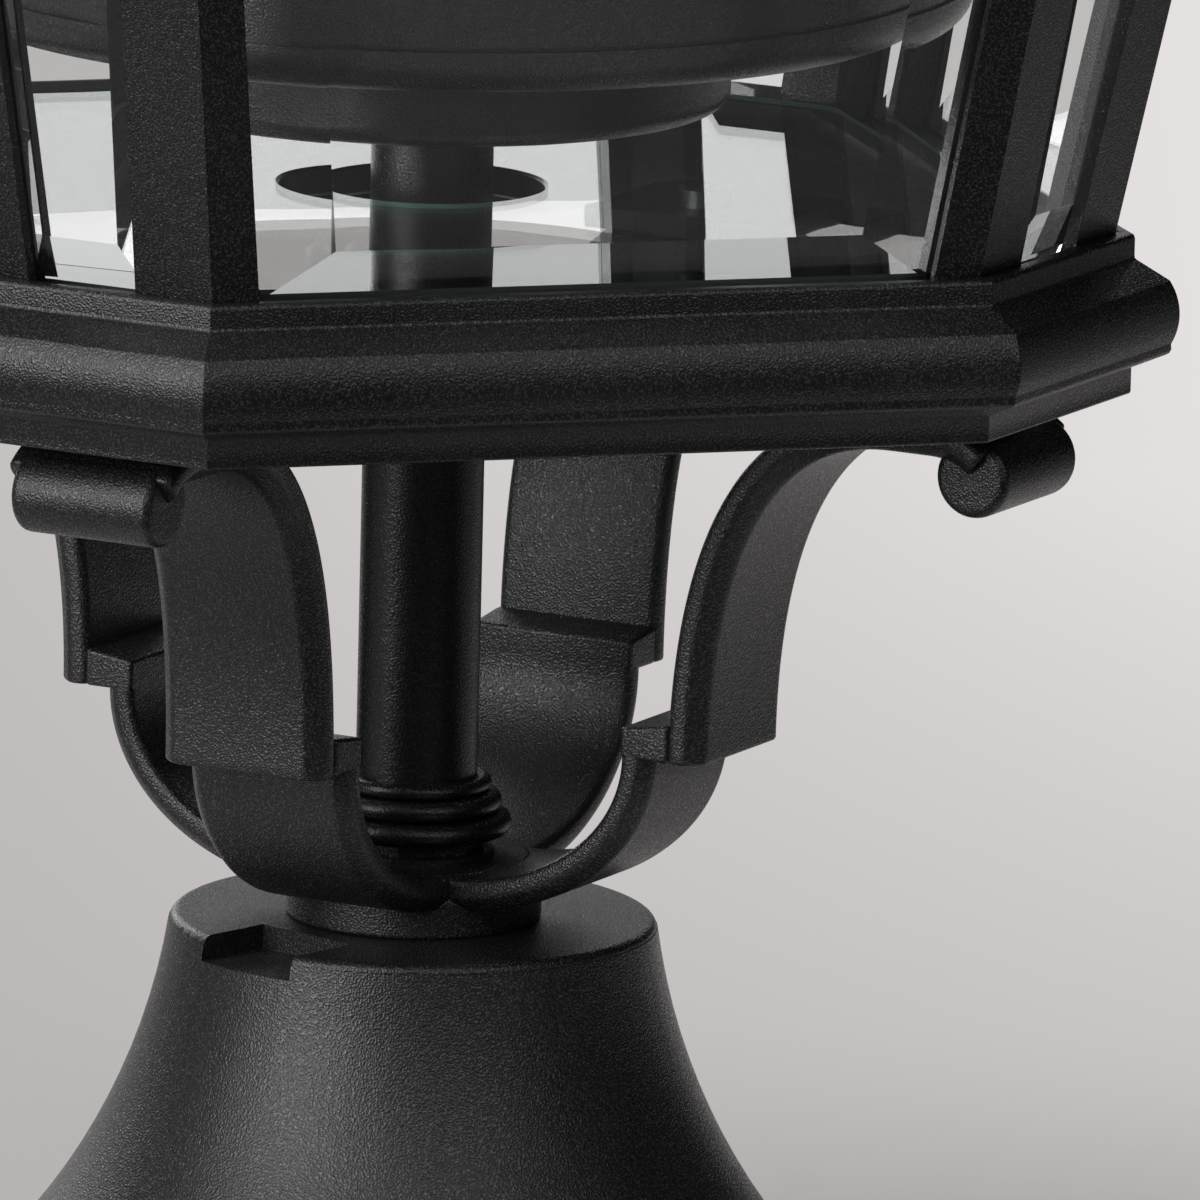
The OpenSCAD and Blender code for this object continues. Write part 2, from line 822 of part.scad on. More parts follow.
// Screw-in lampholder on a short foot.
module lampholder(i) {
    color("#e6e0d2")
    candle_place(i)
        difference() {
            union() {
                bar(20, pan_top, pan_top + 8);
                bar(23, pan_top + 8, pan_top + sleeve_h - 1);
                bar(7.6, pan_top - pan_wall - 3, pan_top);
            }
            bar(15, pan_top + sleeve_h - 27, pan_top + sleeve_h);
            bar(4, pan_top - pan_wall - 4, pan_top + 12);
        }
}

module candle_sleeve(i) {
    color("#e9e2d0")
    candle_place(i)
        pipe(sleeve_d, sleeve_d - 2.6, pan_top, pan_top + sleeve_h);
}

// Candle-shaped lamp with a screw cap.
module lamp(i) {
    z = pan_top + sleeve_h - 25;
    color("#f3efe2")
    candle_place(i)
        translate([0, 0, z])
            rotate_extrude($fn = 48) {
                square([7, 26]);
                translate([0, 2])
                    polygon(concat([[0, 22], [9, 22]],
                        [for (t = [0:0.1:1])
                            bezier([[9, 27], [21, 42], [17, 62], [2.5, 88]], t)],
                        [[0, 89.5]]));
            }
}

module lampholder_1() { lampholder(1); }
module lampholder_2() { lampholder(2); }
module lampholder_3() { lampholder(3); }
module candle_sleeve_1() { candle_sleeve(1); }
module candle_sleeve_2() { candle_sleeve(2); }
module candle_sleeve_3() { candle_sleeve(3); }
module lamp_1() { lamp(1); }
module lamp_2() { lamp(2); }
module lamp_3() { lamp(3); }

// Flat bar across the top of the cage that the finial's stud stands on.
module roof_bridge() {
    reach = cage_a1 - 6.5;
    color("#8b8d90")
    difference() {
        translate([-10, -reach, cage_top])
            cube([20, 2 * reach, bridge_t]);
        for (s = [-1, 1])
            translate([0, s * bridge_screw_r, cage_top - 1])
                cylinder(d = screw_d + gap, h = bridge_t + 2);
        bar(stud_d, cage_top - 1, cage_top + bridge_t + 1);
    }
}

module bridge_screws() {
    color("#77797b")
    for (s = [-1, 1])
        translate([0, s * bridge_screw_r, cage_top]) {
            bar(screw_d - 0.4, -5, bridge_t);
            bar(7.5, bridge_t, bridge_t + 2.4);
        }
}

module finial_stud() {
    color("#b8bbbd") {
        bar(stud_d, cage_top - 6, finial_z + 20);
        hex_nut(13, stud_d - 1, cage_top + bridge_t, 5);
    }
}

// Rubber strip between the cage's rim and the roof's eave.
module roof_gasket() {
    color("#1c1c1c")
        octagon_moulding(cage_a1, cage_c1, cage_top,
            [[1.5, 0], [1.5, gasket_t], [-3.5, gasket_t], [-3.5, 0]]);
}

// Curve of the roof from the eave to the neck, as [share of the eave's width, share
// of the roof's height], moved inward by t for the inside.
function roof_curve(t) = let(s1 = neck_top_d / 2 / eave_a)
    [for (i = [0:roof_steps])
        bezier([[0.93, 0.13], [0.62, 0.2], [0.30, 0.5], [s1, 1]], i / roof_steps)
            - [t / eave_a, 0]];

// Cast roof: an eight-sided hollow roof with a concave sweep over a moulded eave.
module roof() {
    s1 = neck_top_d / 2 / eave_a;
    skirt = 7;
    outside = concat([[1, 0], [1.015, 0.03], [1.015, 0.09], [0.99, 0.12]], roof_curve(0));
    inside = [for (i = [roof_steps:-1:0]) roof_curve(roof_wall * 1.3)[i] - [0, roof_wall * 0.6 / roof_h]];
    stations = concat([for (p = concat(outside, inside))
            [eave_a * p[0], eave_c * p[0], roof_z + roof_h * p[1]]],
        [[cage_a1 - 6, cage_c1 - 6, roof_z + 4], [cage_a1 - 6, cage_c1 - 6, roof_z],
            [cage_a1 + 3, cage_c1 + 3, roof_z], [cage_a1 + 3, cage_c1 + 3, roof_z - skirt],
            [eave_a, eave_c, roof_z - skirt]]);
    color("#29292b")
        octagon_loft(stations);
}

// Turned cap that closes the neck of the roof.
module roof_cap() {
    r = neck_top_d / 2;
    color("#29292b")
    rotate_extrude()
        difference() {
            union() {
                translate([0, roof_top])
                    square([r + 2, 4]);
                translate([r + 2, roof_top + 2])
                    circle(r = 2, $fn = 32);
                translate([0, roof_top])
                    square([r - 6, 8]);
                translate([0, roof_top - 5])
                    square([r - 6.5, 6]);
            }
            translate([0, roof_top - 6])
                square([stud_d / 2 + gap / 2, 20]);
        }
}

// Turned finial with a blind bore that screws down on the stud.
module finial() {
    color("#29292b")
    translate([0, 0, finial_z])
        difference() {
            rotate_extrude() {
                square([11, 2.5]);
                translate([11, 1.25])
                    circle(r = 1.25, $fn = 32);
                square([5.5, finial_h * 0.3]);
                translate([0, finial_h * 0.42])
                    intersection() {
                        circle(r = finial_h * 0.21);
                        translate([0, -finial_h])
                            square([finial_h, 2 * finial_h]);
                    }
                translate([0, finial_h * 0.63])
                    square([5.6, 2.4]);
                polygon(concat([[0, finial_h * 0.6]],
                    [for (t = [0:0.125:1])
                        bezier([[4.4, finial_h * 0.66], [5.4, finial_h * 0.76],
                            [2, finial_h * 0.84], [1, finial_h - 1]], t)],
                    [[0, finial_h]]));
            }
            translate([0, 0, -1])
                cylinder(d = stud_d + 0.1, h = 22.5);
        }
}

bell_pedestal();
mounting_plate();
side_screws();
threaded_pipe();
bell_washer();
bell_nut();
yoke();
hub_washer();
hub_nut();
bead_ring();
stem_cup();
stem_ferrule();
stem_tube();
stem_collar();
ring_screws();
lower_ring();
floor_glass();
cage_frame();
cage_screws();
pane_front();
pane_right();
pane_back();
pane_left();
pane_front_right();
pane_back_right();
pane_back_left();
pane_front_left();
glazing_beads();
pan_dish();
lamp_pan();
pan_nut();
pan_cover();
lampholder_1();
lampholder_2();
lampholder_3();
candle_sleeve_1();
candle_sleeve_2();
candle_sleeve_3();
lamp_1();
lamp_2();
lamp_3();
roof_bridge();
bridge_screws();
finial_stud();
roof_gasket();
roof();
roof_cap();
finial();
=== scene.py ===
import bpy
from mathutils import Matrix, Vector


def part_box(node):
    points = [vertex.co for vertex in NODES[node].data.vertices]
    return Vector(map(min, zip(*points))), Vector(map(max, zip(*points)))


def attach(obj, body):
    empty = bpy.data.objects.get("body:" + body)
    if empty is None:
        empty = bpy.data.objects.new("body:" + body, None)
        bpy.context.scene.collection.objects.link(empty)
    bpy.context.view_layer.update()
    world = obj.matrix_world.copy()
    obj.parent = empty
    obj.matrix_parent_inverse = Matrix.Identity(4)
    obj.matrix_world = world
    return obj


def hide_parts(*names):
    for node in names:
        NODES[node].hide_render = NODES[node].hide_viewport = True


bl_info = {
    "name": "Pedestal lantern",
    "version": (1, 0, 0),
    "blender": (4, 5, 0),
    "location": "3D View > Sidebar > Lantern",
    "description": "Dresses a black pedestal lantern with powder-coated castings and bevelled glass",
    "category": "Object",
}

import math

import bmesh
import bpy
import numpy as np
from mathutils import Matrix

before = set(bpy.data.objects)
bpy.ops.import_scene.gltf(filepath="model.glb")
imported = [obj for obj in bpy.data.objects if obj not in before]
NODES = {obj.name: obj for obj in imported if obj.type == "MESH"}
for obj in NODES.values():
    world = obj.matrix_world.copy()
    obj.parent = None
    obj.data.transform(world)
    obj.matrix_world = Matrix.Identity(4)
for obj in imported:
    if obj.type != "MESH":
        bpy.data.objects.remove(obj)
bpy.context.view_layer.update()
MM = 0.001

BELL_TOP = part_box("bell_pedestal")[1].z / MM
RING_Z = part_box("lower_ring")[0].z / MM
RING_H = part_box("lower_ring")[1].z / MM - RING_Z

# Half width of the cage over its narrow sides, for each millimetre over its wide sides.
CAGE_RATIO = 113.05 / 96.65
# The same for the ring.
RING_RATIO = 1.164
# How much the cage's half width grows for each millimetre of height.
FLARE = 0.177
FLOOR_HOLE_R = 18.5

# The yoke, in millimetres: the ledges' height over the pedestal, the flat bottom of a lower loop,
# the half width and depth of its curve, and how far out the foot of an arm reaches.
ARM_FOOT = BELL_TOP + 34.2
LOOP_FLAT = 13
LOOP_CURVE = 35.3
LOOP_DEPTH = 26.8
LOOP_REACH = LOOP_FLAT + LOOP_CURVE
ARM_REACH = 57.5
LEDGE_H, LEDGE_FALL = 6.3, 1.2


# Forms, in millimetres.


def bezier(points, steps):
    """Cubic curve: (1-t)^3 a + 3t(1-t)^2 b + 3t^2(1-t) c + t^3 d, with t from 0 to 1."""
    t = np.linspace(0, 1, steps + 1)[:, None]
    a, b, c, d = (np.array(p, float) for p in points)
    return (1 - t) ** 3 * a + 3 * t * (1 - t) ** 2 * b + 3 * t * t * (1 - t) * c + t**3 * d


def path_normals(path):
    """Normals to the right of the way that a flat path runs: its tangent turned by -90 degrees."""
    way = np.gradient(path, axis=0)
    way /= np.linalg.norm(way, axis=1)[:, None]
    return np.stack([way[:, 1], -way[:, 0]], 1)


def rounded(outline, radius, steps=4):
    """Closed outline with each corner p replaced by a quadratic curve between the points at
    radius from p on its two edges, or at 0.45 of a shorter edge: (1-t)^2 a + 2t(1-t) p + t^2 b."""
    p = np.array(outline, float)
    back, ahead = np.roll(p, 1, 0) - p, np.roll(p, -1, 0) - p
    reach = [np.minimum(radius, 0.45 * np.linalg.norm(v, axis=1))[:, None] for v in (back, ahead)]
    a = p + back / np.linalg.norm(back, axis=1)[:, None] * reach[0]
    b = p + ahead / np.linalg.norm(ahead, axis=1)[:, None] * reach[1]
    t = np.linspace(0, 1, steps)[None, :, None]
    curve = (1 - t) ** 2 * a[:, None] + 2 * t * (1 - t) * p[:, None] + t * t * b[:, None]
    return curve.reshape(-1, 2)


def turned(points, degrees):
    """Points turned about Z: (x cos - y sin, x sin + y cos, z)."""
    c, s = math.cos(math.radians(degrees)), math.sin(math.radians(degrees))
    return points @ np.array([[c, s, 0], [-s, c, 0], [0, 0, 1]])


def shell(grid, ring_closed=True, path_closed=False):
    """Vertices and faces of a grid of rings: quads join point j of ring i to point j+1 and to
    ring i+1, and an open path gets a face over each end. Turned outward by its signed volume."""
    n, m = grid.shape[:2]
    i, j = np.meshgrid(np.arange(n if path_closed else n - 1), np.arange(m if ring_closed else m - 1),
                       indexing="ij")
    k, q = (i + 1) % n, (j + 1) % m
    faces = np.stack([i * m + j, i * m + q, k * m + q, k * m + j], -1).reshape(-1, 4)
    points = grid.reshape(-1, 3)
    a, b, c, d = (points[faces[:, x]] for x in range(4))
    volume = np.einsum("ij,ij->", a, np.cross(b, c)) + np.einsum("ij,ij->", a, np.cross(c, d))
    ends = []
    if not path_closed:
        ends = [np.arange(m)[::-1], (n - 1) * m + np.arange(m)]
        for e in ends:
            fan = points[e]
            volume += np.cross(fan[1:-1], fan[2:]).dot(fan[0]).sum()
    listed = faces.tolist() + [e.tolist() for e in ends]
    if volume < 0:
        listed = [f[::-1] for f in listed]
    return points, listed


def piece(name, shells, coat, body="lantern", stands_for=(), bevel=0.0):
    """One object from several closed shells, in metres, smooth with area-weighted normals."""
    points, faces, start = [], [], 0
    for p, f in shells:
        points.append(p)
        faces += [[v + start for v in face] for face in f]
        start += len(p)
    mesh = bpy.data.meshes.new(name)
    mesh.from_pydata((np.concatenate(points) * MM).tolist(), [], faces)
    return finished(name, mesh, coat, body, stands_for, bevel)


def finished(name, mesh, coat, body, stands_for, bevel):
    """Object of a mesh, with rounded edges where a bevel width is given in millimetres."""
    mesh.validate()
    mesh.shade_smooth()
    obj = bpy.data.objects.new(name, mesh)
    bpy.context.scene.collection.objects.link(obj)
    mesh.materials.append(coat)
    if bevel:
        edge = obj.modifiers.new("edges", "BEVEL")
        edge.width, edge.segments = bevel * MM, 2
        edge.limit_method, edge.angle_limit = "ANGLE", math.radians(28)
        edge.harden_normals = True
    level = obj.modifiers.new("normals", "WEIGHTED_NORMAL")
    level.keep_sharp = True
    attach(obj, body)
    if stands_for:
        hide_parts(*stands_for)
    return obj


def softened(node, coat, width, body="lantern"):
    """Copy of a frame node with its triangles merged and its edges rounded."""
    form = bmesh.new()
    form.from_mesh(NODES[node].data)
    bmesh.ops.remove_doubles(form, verts=form.verts, dist=2e-6)
    bmesh.ops.dissolve_limit(form, angle_limit=math.radians(0.6), verts=form.verts, edges=form.edges)
    mesh = bpy.data.meshes.new(node + "_soft")
    form.to_mesh(mesh)
    form.free()
    return finished(node + "_soft", mesh, coat, body, (node,), width)


def strap(path, width, thick, outer, inner, turn, edge=0.5):
    """Strap along a flat path (r, z): its section, a rectangle with chamfered edges, is carried
    along the path's normals: (r + nr d, w, z + nz d). The ends shrink by edge to look rounded."""
    w, t = width / 2, thick / 2
    section = rounded([(-w, t - outer), (-w + outer, t), (w - outer, t), (w, t - outer),
                       (w, inner - t), (w - inner, -t), (inner - w, -t), (-w, inner - t)], 0.9)
    first, last = path[1] - path[0], path[-1] - path[-2]
    first, last = first / np.linalg.norm(first), last / np.linalg.norm(last)
    ease = np.array([0, 0.3, 1.0])[:, None] * edge
    stations = np.concatenate([path[0] + first * ease, path[1:-1], path[-1] - last * ease[::-1]])
    normals = path_normals(path)
    normals = np.concatenate([normals[[0, 0, 0]], normals[1:-1], normals[[-1, -1, -1]]])
    shrink = np.concatenate([[edge, 0.3 * edge, 0], np.zeros(len(path) - 2), [0, 0.3 * edge, edge]])
    across = section[None, :, 0] * (1 - shrink[:, None] / w)
    out = section[None, :, 1] * (1 - shrink[:, None] / t)
    grid = np.stack([stations[:, None, 0] + normals[:, None, 0] * out, across,
                     stations[:, None, 1] + normals[:, None, 1] * out], -1)
    return shell(turned(grid, turn))


def lathe(outline, axis="z", at=(0, 0, 0), turn=0, steps=96):
    """Closed outline (r, h) turned about an axis: (r cos a, r sin a, h)."""
    o = np.array(outline, float)
    a = np.linspace(0, 2 * math.pi, steps, endpoint=False)[:, None]
    x, y, z = o[:, 0] * np.cos(a), o[:, 0] * np.sin(a), o[:, 1] + 0 * a
    grid = np.stack([x, y, z] if axis == "z" else [x, z, y], -1) + np.array(at, float)
    return shell(turned(grid, turn), path_closed=True)


def slab(outline, half, edge, turn):
    """Outline in (r, z) carried across a width of twice half, its rim rounded by edge."""
    flat = rounded(outline, edge)
    mid = flat.mean(0)
    span = np.ptp(flat, axis=0) / 2
    ease = np.array([[0, edge], [0.3 * edge, 0.3 * edge], [edge, 0]])
    levels = np.concatenate([ease * [1, 1] - [half, 0], (ease * [-1, 1] + [half, 0])[::-1]])
    plan = mid + (flat - mid)[None] * (1 - levels[:, 1, None, None] / span)
    across = np.broadcast_to(levels[:, :1, None], plan.shape[:2] + (1,))
    return shell(turned(np.concatenate([plan[..., :1], across, plan[..., 1:]], -1), turn))


def bar_end(radius, half, edge, steps=6):
    """Half outline (r, h) of a round bar along its axis, with rims rounded by edge."""
    a = np.linspace(0, math.pi / 2, steps)
    rim = np.stack([radius - edge + edge * np.sin(a), edge - edge * np.cos(a) - half], 1)
    return np.concatenate([[[0.02, -half]], rim, rim[::-1] * [1, -1], [[0.02, half]]])


def block(low, high, edge, turn):
    """Box with rounded upright edges and eased top and bottom."""
    (x0, y0, z0), (x1, y1, z1) = low, high
    flat = rounded([(x0, y0), (x1, y0), (x1, y1), (x0, y1)], edge)
    mid = flat.mean(0)
    levels = np.array([[z0, edge], [z0 + 0.3 * edge, 0.3 * edge], [z0 + edge, 0],
                       [z1 - edge, 0], [z1 - 0.3 * edge, 0.3 * edge], [z1, edge]])
    pull = 1 - levels[:, 1, None, None] / np.array([(x1 - x0) / 2, (y1 - y0) / 2])
    plan = mid + (flat - mid)[None] * pull
    grid = np.concatenate([plan, np.broadcast_to(levels[:, :1, None], plan.shape[:2] + (1,))], -1)
    return shell(turned(grid, turn))


def octagon_sweep(section, a, c, edge=0.5):
    """Moulding round an eight-sided plan: at section point (offset, z) the plan's corners are
    those of the octagon with half widths a + offset and c + offset, each rounded by edge."""
    s = np.array(section, float)
    sides = np.radians(np.arange(8) * 45.0)
    span = np.linspace(0, math.radians(45), 3)
    da, dc = a + s[:, 0] - edge, c + s[:, 0] - edge
    half = dc * math.sqrt(2) - da
    corners = np.stack([np.stack([da, half], -1), np.stack([half, da], -1)], 1)
    points = []
    for quarter in range(4):
        ca, sa = math.cos(quarter * math.pi / 2), math.sin(quarter * math.pi / 2)
        plan = corners @ np.array([[ca, sa], [-sa, ca]])
        for k in range(2):
            angle = sides[2 * quarter + k] + span
            arc = edge * np.stack([np.cos(angle), np.sin(angle)], -1)
            points.append(plan[:, k][:, None] + arc[None])
    plan = np.concatenate(points, 1)
    grid = np.concatenate([plan, np.broadcast_to(s[:, 1][:, None, None], plan.shape[:2] + (1,))], -1)
    return shell(grid, path_closed=True)


# Finishes.


class Wire:
    """An output socket. Python operators on it add Math nodes."""

    def __init__(self, book, socket):
        self.book, self.socket = book, socket

    def _math(self, operation, *terms):
        return self.book.add("ShaderNodeMath", {"operation": operation}, dict(enumerate(terms)))

    def __add__(self, other):
        return self._math("ADD", self, other)

    __radd__ = __add__

    def __sub__(self, other):
        return self._math("SUBTRACT", self, other)

    def __rsub__(self, other):
        return self._math("SUBTRACT", other, self)

    def __mul__(self, other):
        return self._math("MULTIPLY", self, other)

    __rmul__ = __mul__

    def __truediv__(self, other):
        return self._math("DIVIDE", self, other)

    def __pow__(self, other):
        return self._math("POWER", self, other)

    def limited(self):
        return self.book.add("ShaderNodeClamp", {}, {0: self})

    def ramp(self, low, high):
        """Smooth step from 0 at low to 1 at high."""
        return self.book.add("ShaderNodeMapRange", {"interpolation_type": "SMOOTHSTEP"},
                             {0: self, 1: low, 2: high, 3: 0.0, 4: 1.0})


class Book:
    """The node tree of one material or world."""

    def __init__(self, owner):
        owner.use_nodes = True
        self.owner, self.tree = owner, owner.node_tree
        self.tree.nodes.clear()

    def add(self, kind, settings=None, sockets=None, out=0):
        node = self.tree.nodes.new(kind)
        for key, value in (settings or {}).items():
            setattr(node, key, value)
        for key, value in (sockets or {}).items():
            if isinstance(value, Wire):
                self.tree.links.new(value.socket, node.inputs[key])
            else:
                node.inputs[key].default_value = value
        return Wire(self, node.outputs[out])

    def place(self):
        return self.add("ShaderNodeTexCoord", out="Object")

    def noise(self, scale, detail=2.0, roughness=0.5):
        return self.add("ShaderNodeTexNoise", {}, {"Vector": self.place(), "Scale": scale,
                        "Detail": detail, "Roughness": roughness})

    def blend(self, share, a, b):
        ends = {i: c if isinstance(c, Wire) else (*c, 1) for i, c in ((6, a), (7, b))}
        return self.add("ShaderNodeMix", {"data_type": "RGBA"}, {0: share, **ends}, 2)

    def bump(self, height, strength, distance):
        return self.add("ShaderNodeBump", {}, {"Height": height, "Strength": strength,
                        "Distance": distance})

    def surface(self, **sockets):
        words = {k.replace("_", " "): v for k, v in sockets.items()}
        return self.add("ShaderNodeBsdfPrincipled", {}, words)

    def close(self, shader):
        owner = "World" if isinstance(self.owner, bpy.types.World) else "Material"
        node = self.tree.nodes.new("ShaderNodeOutput" + owner)
        self.tree.links.new(shader.socket, node.inputs["Surface"])
        return self.owner


def scaled(colour, k):
    """Colour times k, with no channel past 1."""
    return tuple(min(1.0, c * k) for c in colour)


def powder_coat(name, tint, roughness, grain, depth):
    """Black powder coat: a sandy grain over a faint orange peel, and slow changes of gloss. The
    grain's crests are paler in colour: real grain with painted glints in it."""
    book = Book(bpy.data.materials.new(name))
    fine, peel, slow = book.noise(1000 / grain, 0.0), book.noise(260.0), book.noise(22.0)
    grain_and_glint_crest = fine.ramp(0.5, 0.72)
    # Painted glints: the grain's crests take 6.5 times the tint in colour, the troughs 0.35 times it.
    colour = book.blend(grain_and_glint_crest * 0.9 + slow.ramp(0.3, 0.7) * 0.1, scaled(tint, 0.35), scaled(tint, 6.5))
    gloss = roughness + (slow - 0.5) * 0.1 - (grain_and_glint_crest - 0.3) * 0.2
    relief = book.bump(fine + peel * 0.3, 1.0, depth * MM)
    return book.close(book.surface(Base_Color=colour, Roughness=gloss, Normal=relief))


def bare_metal(name, tint, roughness):
    """Plated metal with fine drawing marks and a patchy sheen."""
    book = Book(bpy.data.materials.new(name))
    fine, slow = book.noise(900.0, 3.0), book.noise(60.0)
    colour = book.blend(slow.ramp(0.35, 0.65), scaled(tint, 0.85), tint)
    gloss = roughness + (fine - 0.5) * 0.2
    relief = book.bump(fine, 0.5, 0.03 * MM)
    return book.close(book.surface(Base_Color=colour, Metallic=1.0, Roughness=gloss, Normal=relief))


def moulded(name, tint, roughness, warm):
    """Moulded plastic or a frosted envelope, with a faint cloudiness."""
    book = Book(bpy.data.materials.new(name))
    slow, fine = book.noise(45.0), book.noise(700.0)
    colour = book.blend(slow.ramp(0.3, 0.7), tint, tuple(c * w for c, w in zip(tint, warm)))
    relief = book.bump(fine, 0.3, 0.02 * MM)
    gloss = roughness + (slow - 0.5) * 0.08
    return book.close(book.surface(Base_Color=colour, Roughness=gloss, Normal=relief))


def clear_glass(name, tint, ior, gloss):
    """Polished glass that lets lamp light through, with the faintest waviness."""
    book = Book(bpy.data.materials.new(name))
    slow = book.noise(30.0)
    relief = book.bump(slow, 0.06, 0.2 * MM)
    pane = book.surface(Base_Color=(*tint, 1), Roughness=gloss, IOR=ior, Transmission_Weight=1.0,
                        Normal=relief)
    shadow = book.add("ShaderNodeLightPath", out="Is Shadow Ray")
    through = book.add("ShaderNodeBsdfTransparent", {}, {"Color": (*tint, 1)})
    return book.close(book.add("ShaderNodeMixShader", {}, {0: shadow, 1: pane, 2: through}))


def ground_edge(name, outer, inner):
    """Ground edge of a glass plate: dark from outside, and the glass's own green from inside it."""
    book = Book(bpy.data.materials.new(name))
    within = book.add("ShaderNodeNewGeometry", out="Backfacing")
    dark = book.surface(Base_Color=(*outer, 1), Roughness=0.35)
    green = book.surface(Base_Color=(*inner, 1), Roughness=0.5)
    return book.close(book.add("ShaderNodeMixShader", {}, {0: within, 1: dark, 2: green}))


def dress(names, finish):
    """Gives a finish to frame nodes through their objects' material slots."""
    for name in names:
        obj = NODES[name]
        if not obj.material_slots:
            obj.data.materials.append(finish)
        for slot in obj.material_slots:
            slot.link = "OBJECT"
            slot.material = finish


# Settings.


class LanternCoat(bpy.types.PropertyGroup):
    tint: bpy.props.FloatVectorProperty(
        name="Coat colour", description="Colour of the powder coat", subtype="COLOR",
        default=(0.0055, 0.0055, 0.006), min=0, max=1)
    roughness: bpy.props.FloatProperty(
        name="Coat roughness", description="Roughness of the powder coat", default=0.35, min=0, max=1)
    grain: bpy.props.FloatProperty(
        name="Grain", description="Size of the coat's grain in millimetres", default=0.34, min=0.2, max=2)
    relief: bpy.props.FloatProperty(
        name="Relief", description="Height of the coat's grain in millimetres", default=0.12, min=0, max=2)
    edge: bpy.props.FloatProperty(
        name="Edge rounding", description="Rounding of cast edges in millimetres", default=0.5, min=0.1,
        max=1.5)


class LanternGlass(bpy.types.PropertyGroup):
    pane_tint: bpy.props.FloatVectorProperty(
        name="Pane tint", description="Tint of the bevelled panes", subtype="COLOR",
        default=(0.985, 0.995, 0.992), min=0, max=1)
    floor_tint: bpy.props.FloatVectorProperty(
        name="Floor tint", description="Tint of the glass floor", subtype="COLOR",
        default=(0.98, 0.992, 0.99), min=0, max=1)
    wedge: bpy.props.FloatProperty(
        name="Depth of the flat", description="How much deeper the flat of a pane lies, in millimetres",
        default=1.2, min=0, max=1.5)
    ior: bpy.props.FloatProperty(
        name="Index", description="Refractive index of the glass", default=1.5, min=1.3, max=1.8)


class LanternYoke(bpy.types.PropertyGroup):
    arm_width: bpy.props.FloatProperty(
        name="Arm width", description="Width of an arm in millimetres", default=30.0, min=26, max=34)
    arm_thick: bpy.props.FloatProperty(
        name="Arm thickness", description="Thickness of an arm in millimetres", default=6.2, min=5, max=8)
    loop_thick: bpy.props.FloatProperty(
        name="Loop thickness", description="Thickness of a lower loop in millimetres", default=5.4, min=4,
        max=7)
    scroll: bpy.props.FloatProperty(
        name="Scroll diameter", description="Diameter of a scroll in millimetres", default=13.0, min=10,
        max=14)


class LanternStage(bpy.types.PropertyGroup):
    # Painted light falloff: pale and dim are the floor's colours on its lighter and darker sides.
    pale: bpy.props.FloatVectorProperty(
        name="Floor, light side", description="Colour of the floor on its light side", subtype="COLOR",
        default=(0.92, 0.885, 0.875), min=0, max=1)
    dim: bpy.props.FloatVectorProperty(
        name="Floor, dim side", description="Colour of the floor on its dim side", subtype="COLOR",
        default=(0.62, 0.59, 0.582), min=0, max=1)
    # Painted dark reflection: the colour that reflections and bounced light see on the floor in front,
    # where the camera sees around.
    front: bpy.props.FloatVectorProperty(
        name="Floor, front", description="Colour that the floor in front gives the lantern",
        subtype="COLOR", default=(0.015, 0.015, 0.015), min=0, max=1)
    around: bpy.props.FloatVectorProperty(
        name="Floor, around", description="Colour of the floor in front and at the sides, seen directly",
        subtype="COLOR", default=(0.34, 0.33, 0.326), min=0, max=1)
    # Painted dimmer reflection: at the sides, reflections see the far dim colour times this share.
    flank: bpy.props.FloatProperty(
        name="Floor, flanks", description="Share of the floor's tone that the sides give the lantern",
        default=0.35, min=0, max=1)
    # Painted light falloff on the far floor, seen as backdrop: far_pale and far_dim.
    far_pale: bpy.props.FloatVectorProperty(
        name="Backdrop, light side", description="Colour of the far floor on its light side",
        subtype="COLOR", default=(0.78, 0.75, 0.742), min=0, max=1)
    far_dim: bpy.props.FloatVectorProperty(
        name="Backdrop, dim side", description="Colour of the far floor on its dim side",
        subtype="COLOR", default=(0.485, 0.462, 0.456), min=0, max=1)
    key: bpy.props.FloatProperty(
        name="Key light", description="Power of the key light", default=18.0, min=0, max=100, unit="POWER")
    low_key: bpy.props.FloatProperty(
        name="Low key light", description="Power of the light under the key light", default=12.0, min=0,
        max=100, unit="POWER")
    fill: bpy.props.FloatProperty(
        name="Fill lights", description="Power of each light in front", default=3.5, min=0, max=100,
        unit="POWER")
    rim: bpy.props.FloatProperty(
        name="Rim lights", description="Power of the light at the back left and of the one above",
        default=7.8, min=0, max=100, unit="POWER")
    back: bpy.props.FloatProperty(
        name="Back light", description="Power of the light behind", default=1.0, min=0, max=100,
        unit="POWER")
    ambient: bpy.props.FloatProperty(
        name="Ambient", description="Strength of the even light all round", default=0.01, min=0, max=2)
    azimuth: bpy.props.FloatProperty(
        name="Camera azimuth", description="Camera's turn round the lantern", subtype="ANGLE",
        default=math.radians(16.8))
    elevation: bpy.props.FloatProperty(
        name="Camera elevation", description="Camera's height angle", subtype="ANGLE",
        default=math.radians(11.66))
    roll: bpy.props.FloatProperty(
        name="Camera roll", description="Camera's roll", subtype="ANGLE", default=math.radians(1.36))


GROUPS = {"lantern_coat": LanternCoat, "lantern_glass": LanternGlass, "lantern_yoke": LanternYoke,
          "lantern_stage": LanternStage}


def cast_coat():
    """The castings' powder coat, made once."""
    made = bpy.data.materials.get("cast_coat")
    if made:
        return made
    s = bpy.context.scene.lantern_coat
    return powder_coat("cast_coat", tuple(s.tint), s.roughness, s.grain, s.relief)


